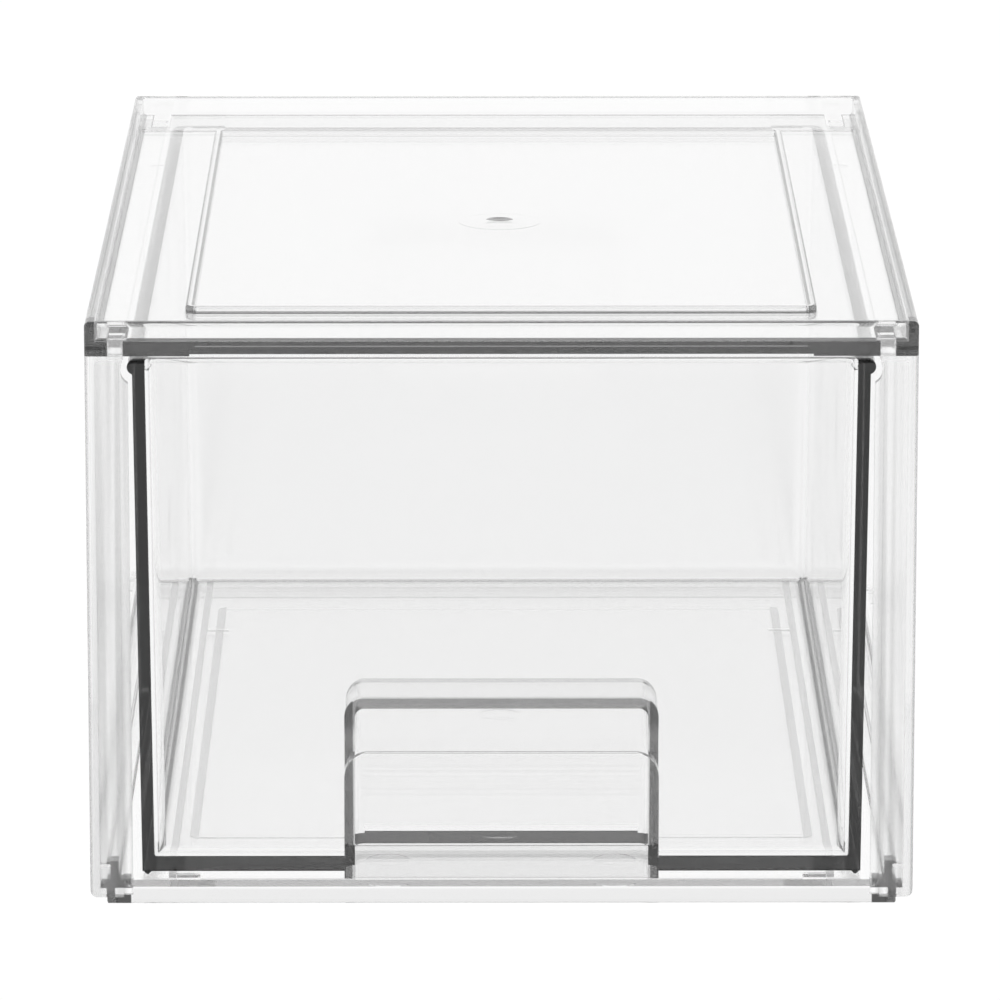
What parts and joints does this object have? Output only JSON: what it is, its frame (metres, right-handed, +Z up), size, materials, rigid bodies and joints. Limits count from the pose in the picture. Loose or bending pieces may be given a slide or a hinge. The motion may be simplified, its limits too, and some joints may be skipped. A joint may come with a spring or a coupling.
{
  "type": "stackable drawer box",
  "caption": "Clear moulded storage box that stacks on its own kind, with a pull-out drawer and a finger pull moulded into the drawer's front.",
  "frame": {"origin": "centre of the underside, on the surface that the box stands on", "axes": "+X to the right seen from the front, +Y from the front to the back, +Z up; the drawer pulls out along -Y"},
  "size_m": [0.23, 0.35, 0.167],
  "materials": {
    "case_clear": "water-clear moulded polystyrene, polished",
    "side_clear": "water-clear moulded polystyrene, polished",
    "drawer_clear": "water-clear moulded polystyrene, polished"
  },
  "bodies": {
    "case": {"top_panel": "case_clear", "base_panel": "case_clear", "left_side_panel": "side_clear", "right_side_panel": "side_clear", "back_panel": "case_clear"},
    "drawer": {"drawer": "drawer_clear"}
  },
  "joints": [
    {"name": "drawer_slide", "type": "slide", "parent": "case", "child": "drawer", "axis": [0, -1, 0], "range_m": [0, 0.27]}
  ]
}
